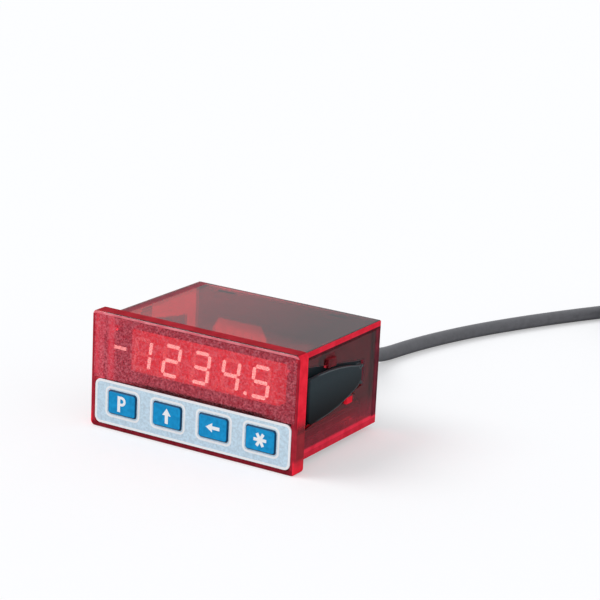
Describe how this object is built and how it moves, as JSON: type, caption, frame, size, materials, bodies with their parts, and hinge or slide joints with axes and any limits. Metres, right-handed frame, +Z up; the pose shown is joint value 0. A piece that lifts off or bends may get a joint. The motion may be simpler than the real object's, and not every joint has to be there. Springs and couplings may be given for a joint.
{
  "type": "digital panel meter",
  "caption": "Rectangular panel meter in a clear red housing with a numeric display, a key row, spring clips in the sides, and a cable with a round connector.",
  "frame": {"origin": "under the middle of the meter without its cable, level with the lower edge of the bezel", "axes": "+X to the right as the display is read, +Y from the display into the panel, +Z up"},
  "size_m": [0.1429, 0.2465, 0.036],
  "materials": {
    "red_clear": "polished transparent red moulding",
    "foil_frosted": "fine frosted transparent red film",
    "label_silver": "silver-blue printed film with white outlines",
    "key_blue": null,
    "switch_button": "plain",
    "switch_case": "plain",
    "module_face": "plain pale face and sides",
    "segment_lit": "lit red lamp",
    "segment_dark": "unlit lamp",
    "circuit_board": "green solder resist",
    "lamp_holder": "plain",
    "socket_black": "plain",
    "socket_white": "plain",
    "chip_black": "fine moulded grain",
    "ferrite_grey": "pressed ferrite",
    "can_aluminium": "drawn can with dark sector",
    "can_steel": "drawn can",
    "wire_colours": "thin insulation in several plain colours",
    "cover_black": "fine moulded grain",
    "screw_steel": "zinc plated",
    "relief_rubber": "satin",
    "clip_black": "satin moulding",
    "cable_grey": "smooth dark grey sheath",
    "connector_black": "satin grip",
    "connector_nickel": "nickel plated",
    "carrier_black": "plain",
    "contact_gold": "gold plated"
  },
  "bodies": {
    "housing": {"board_header": "socket_black", "cable": "cable_grey", "cable_coil": "cable_grey", "cable_socket": "socket_white", "capacitors": "can_aluminium", "clip_plate_left": "clip_black", "clip_plate_right": "clip_black", "connector_body": "connector_black", "contact_carrier": "carrier_black", "contacts": "contact_gold", "cover_screws": "screw_steel", "crystal": "can_steel", "dark_segments_1": "segment_dark", "dark_segments_2": "segment_dark", "dark_segments_3": "segment_dark", "dark_segments_4": "segment_dark", "dark_segments_5": "segment_dark", "digit_module_1": "module_face", "digit_module_2": "module_face", "digit_module_3": "module_face", "digit_module_4": "module_face", "digit_module_5": "module_face", "display_board": "circuit_board", "display_driver": "chip_black", "front_foil": "foil_frosted", "housing": "red_clear", "inner_wires": "wire_colours", "keypad_label": "label_silver", "lit_segments_1": "segment_lit", "lit_segments_2": "segment_lit", "lit_segments_3": "segment_lit", "lit_segments_4": "segment_lit", "lit_segments_5": "segment_lit", "main_board": "circuit_board", "microcontroller": "chip_black", "minus_holder": "lamp_holder", "minus_lamp": "segment_lit", "rear_cover": "cover_black", "regulator": "chip_black", "slot_blank": "red_clear", "strain_relief": "relief_rubber", "supply_coil": "ferrite_grey", "switch_body_left": "switch_case", "switch_body_p": "switch_case", "switch_body_star": "switch_case", "switch_body_up": "switch_case"},
    "key_p": {"key_cap_p": "key_blue", "switch_plunger_p": "switch_button"},
    "key_up": {"key_cap_up": "key_blue", "switch_plunger_up": "switch_button"},
    "key_left": {"key_cap_left": "key_blue", "switch_plunger_left": "switch_button"},
    "key_star": {"key_cap_star": "key_blue", "switch_plunger_star": "switch_button"},
    "clip_right": {"clip_leaf_right": "clip_black"},
    "clip_left": {"clip_leaf_left": "clip_black"},
    "nut": {"coupling_nut": "connector_nickel"}
  },
  "joints": [
    {"name": "key_p_press", "type": "slide", "parent": "housing", "child": "key_p", "axis": [0, 1, 0], "range_m": [0, 0.0005], "stiffness_N_per_m": 600, "springref_m": -0.0003},
    {"name": "key_up_press", "type": "slide", "parent": "housing", "child": "key_up", "axis": [0, 1, 0], "range_m": [0, 0.0005], "stiffness_N_per_m": 600, "springref_m": -0.0003},
    {"name": "key_left_press", "type": "slide", "parent": "housing", "child": "key_left", "axis": [0, 1, 0], "range_m": [0, 0.0005], "stiffness_N_per_m": 600, "springref_m": -0.0003},
    {"name": "key_star_press", "type": "slide", "parent": "housing", "child": "key_star", "axis": [0, 1, 0], "range_m": [0, 0.0005], "stiffness_N_per_m": 600, "springref_m": -0.0003},
    {"name": "clip_right_swing", "type": "hinge", "parent": "housing", "child": "clip_right", "pos_m": [0.033, 0.01457, 0.0203], "axis": [0, 0, 1], "range_deg": [-3, 0], "stiffness_Nm_per_rad": 1.7, "springref_deg": 0.57},
    {"name": "clip_left_swing", "type": "hinge", "parent": "housing", "child": "clip_left", "pos_m": [-0.033, 0.01457, 0.0203], "axis": [0, 0, 1], "range_deg": [0, 3], "stiffness_Nm_per_rad": 1.7, "springref_deg": -0.57},
    {"name": "nut_spin", "type": "hinge", "parent": "housing", "child": "nut", "pos_m": [0.09418, 0.13247, 0.00715], "axis": [-0.1914, -0.9815, 0], "continuous": true}
  ]
}
